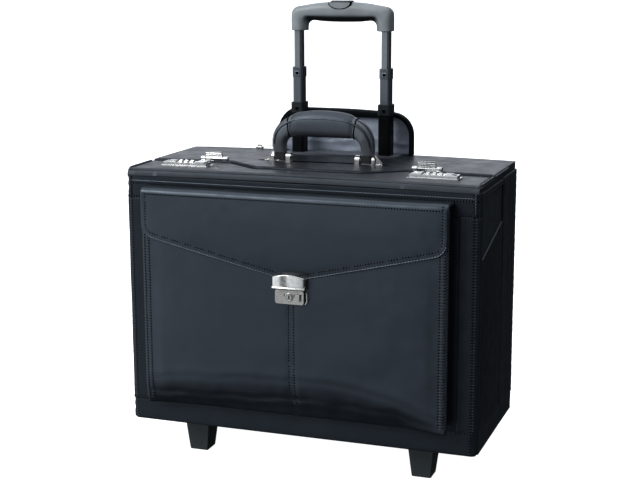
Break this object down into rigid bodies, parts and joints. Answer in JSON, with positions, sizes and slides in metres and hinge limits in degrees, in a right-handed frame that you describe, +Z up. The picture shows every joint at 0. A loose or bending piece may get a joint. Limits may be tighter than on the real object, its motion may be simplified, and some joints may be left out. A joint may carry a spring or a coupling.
{
  "type": "pilot rolling flight case",
  "caption": "Leather-covered box case with a twin-lid top, front pocket with flap and lock, carry handle, and a telescopic trolley handle with wheels and front feet.",
  "frame": {"origin": "on the ground, under the middle of the bounding box", "axes": "+Z up; +X to the right seen from the front; the front pocket faces -Y"},
  "size_m": [0.476, 0.2632, 0.6025],
  "materials": {
    "leather": "smooth black leather with a soft sheen, matching dark stitching",
    "board": "covered board",
    "lining": "grey satin lining",
    "zip_tape": "woven black tape",
    "nickel": "polished nickel plate",
    "steel": "bright steel",
    "anodised": "dark grey anodised satin",
    "grip_plastic": "satin dark grey moulding",
    "housing_plastic": "fine-textured near-black moulding",
    "tyre": "black rubber"
  },
  "bodies": {
    "case": {"bottom_panel": "leather", "front_panel": "leather", "back_panel": "leather", "side_panel_left": "leather", "side_panel_right": "leather", "rear_partition": "board", "rear_deck": "leather", "divider_panel": "lining", "side_pocket_left": "leather", "side_pocket_right": "leather", "pocket_front": "leather", "pocket_gusset": "leather", "pocket_lock_body": "nickel", "front_feet": "housing_plastic", "wheel_housings": "housing_plastic", "wheel_axles": "steel", "trolley_sleeves": "anodised", "trolley_base_bracket": "housing_plastic", "trolley_bezel": "grip_plastic", "zip_tape": "zip_tape", "rivets": "nickel", "edge_piping": "leather", "reinforcement_bands": "leather"},
    "front_lid": {"front_lid": "leather", "combo_lock_bodies": "nickel"},
    "rear_lid": {"rear_lid": "leather", "hasp_bases": "nickel", "handle_brackets": "nickel"},
    "carry_handle": {"handle_strap": "leather", "handle_pad": "leather"},
    "pocket_flap": {"pocket_flap": "leather", "flap_lock_plate": "nickel"},
    "hood": {"hood_shell": "leather", "hood_lining": "lining"},
    "stage1": {"stage1_tubes": "anodised", "stage1_collars": "grip_plastic"},
    "stage2": {"stage2_tubes": "anodised", "stage2_collars": "grip_plastic"},
    "stage3": {"stage3_tubes": "anodised", "grip": "grip_plastic"},
    "grip_button": {"grip_button": "grip_plastic", "release_rods": "steel"},
    "zip_slider": {"zip_slider": "nickel"},
    "key_cylinder": {"key_cylinder": "nickel"},
    "lock_latch": {"lock_latch": "nickel"},
    "wheel_left": {"tyre_left": "tyre", "hub_left": "housing_plastic"},
    "wheel_right": {"tyre_right": "tyre", "hub_right": "housing_plastic"},
    "hasp_left": {"hasp_left": "nickel"},
    "lock_slider_left": {"lock_slider_left": "nickel"},
    "dial_left_1": {"dial_left_1": "nickel"},
    "dial_left_2": {"dial_left_2": "nickel"},
    "dial_left_3": {"dial_left_3": "nickel"},
    "hasp_right": {"hasp_right": "nickel"},
    "lock_slider_right": {"lock_slider_right": "nickel"},
    "dial_right_1": {"dial_right_1": "nickel"},
    "dial_right_2": {"dial_right_2": "nickel"},
    "dial_right_3": {"dial_right_3": "nickel"}
  },
  "joints": [
    {"name": "front_lid_hinge", "type": "hinge", "parent": "case", "child": "front_lid", "pos_m": [0, -0.0934, 0.3914], "axis": [1, 0, 0], "range_deg": [0, 110]},
    {"name": "rear_lid_hinge", "type": "hinge", "parent": "case", "child": "rear_lid", "pos_m": [0, 0.0688, 0.3936], "axis": [-1, 0, 0], "range_deg": [0, 40]},
    {"name": "carry_handle_swing", "type": "hinge", "parent": "rear_lid", "child": "carry_handle", "pos_m": [0, 0.0101, 0.4], "axis": [1, 0, 0], "range_deg": [-70, 75]},
    {"name": "pocket_flap_hinge", "type": "hinge", "parent": "case", "child": "pocket_flap", "pos_m": [0, -0.0974, 0.3712], "axis": [-1, 0, 0], "range_deg": [0, 90]},
    {"name": "hood_hinge", "type": "hinge", "parent": "case", "child": "hood", "pos_m": [0, 0.1189, 0.3932], "axis": [-1, 0, 0], "range_deg": [0, 100]},
    {"name": "trolley_stage1", "type": "slide", "parent": "case", "child": "stage1", "axis": [0, 0, 1], "range_m": [-0.052, 0.14]},
    {"name": "trolley_stage2", "type": "slide", "parent": "stage1", "child": "stage2", "axis": [0, 0, 1], "range_m": [-0.0335, 0.16]},
    {"name": "trolley_stage3", "type": "slide", "parent": "stage2", "child": "stage3", "axis": [0, 0, 1], "range_m": [-0.0485, 0.16]},
    {"name": "grip_button_press", "type": "slide", "parent": "stage3", "child": "grip_button", "axis": [0, 0, -1], "range_m": [0, 0.003], "stiffness_N_per_m": 400, "springref_m": -0.004},
    {"name": "zip_slider_run", "type": "slide", "parent": "case", "child": "zip_slider", "axis": [1, 0, 0], "range_m": [-0.078, 0.01]},
    {"name": "key_turn", "type": "hinge", "parent": "case", "child": "key_cylinder", "pos_m": [0.003, -0.1264, 0.244], "axis": [0, -1, 0], "range_deg": [0, 90]},
    {"name": "lock_latch_slide", "type": "slide", "parent": "case", "child": "lock_latch", "axis": [1, 0, 0], "range_m": [0, 0.002], "stiffness_N_per_m": 300, "springref_m": -0.002},
    {"name": "wheel_left_spin", "type": "hinge", "parent": "case", "child": "wheel_left", "pos_m": [-0.19, 0.1066, 0.025], "axis": [1, 0, 0], "continuous": true},
    {"name": "wheel_right_spin", "type": "hinge", "parent": "case", "child": "wheel_right", "pos_m": [0.19, 0.1066, 0.025], "axis": [1, 0, 0], "continuous": true},
    {"name": "hasp_left_hinge", "type": "hinge", "parent": "rear_lid", "child": "hasp_left", "pos_m": [-0.147, -0.0114, 0.39582], "axis": [-1, 0, 0], "range_deg": [0, 60]},
    {"name": "lock_slider_left_slide", "type": "slide", "parent": "front_lid", "child": "lock_slider_left", "axis": [-1, 0, 0], "range_m": [0, 0.004], "stiffness_N_per_m": 300, "springref_m": -0.002},
    {"name": "dial_left_1_spin", "type": "hinge", "parent": "front_lid", "child": "dial_left_1", "pos_m": [-0.16, -0.0539, 0.39462], "axis": [1, 0, 0], "continuous": true},
    {"name": "dial_left_2_spin", "type": "hinge", "parent": "front_lid", "child": "dial_left_2", "pos_m": [-0.168, -0.0539, 0.39462], "axis": [1, 0, 0], "continuous": true},
    {"name": "dial_left_3_spin", "type": "hinge", "parent": "front_lid", "child": "dial_left_3", "pos_m": [-0.176, -0.0539, 0.39462], "axis": [1, 0, 0], "continuous": true},
    {"name": "hasp_right_hinge", "type": "hinge", "parent": "rear_lid", "child": "hasp_right", "pos_m": [0.147, -0.0114, 0.39582], "axis": [-1, 0, 0], "range_deg": [0, 60]},
    {"name": "lock_slider_right_slide", "type": "slide", "parent": "front_lid", "child": "lock_slider_right", "axis": [1, 0, 0], "range_m": [0, 0.004], "stiffness_N_per_m": 300, "springref_m": -0.002},
    {"name": "dial_right_1_spin", "type": "hinge", "parent": "front_lid", "child": "dial_right_1", "pos_m": [0.16, -0.0539, 0.39462], "axis": [1, 0, 0], "continuous": true},
    {"name": "dial_right_2_spin", "type": "hinge", "parent": "front_lid", "child": "dial_right_2", "pos_m": [0.168, -0.0539, 0.39462], "axis": [1, 0, 0], "continuous": true},
    {"name": "dial_right_3_spin", "type": "hinge", "parent": "front_lid", "child": "dial_right_3", "pos_m": [0.176, -0.0539, 0.39462], "axis": [1, 0, 0], "continuous": true}
  ]
}
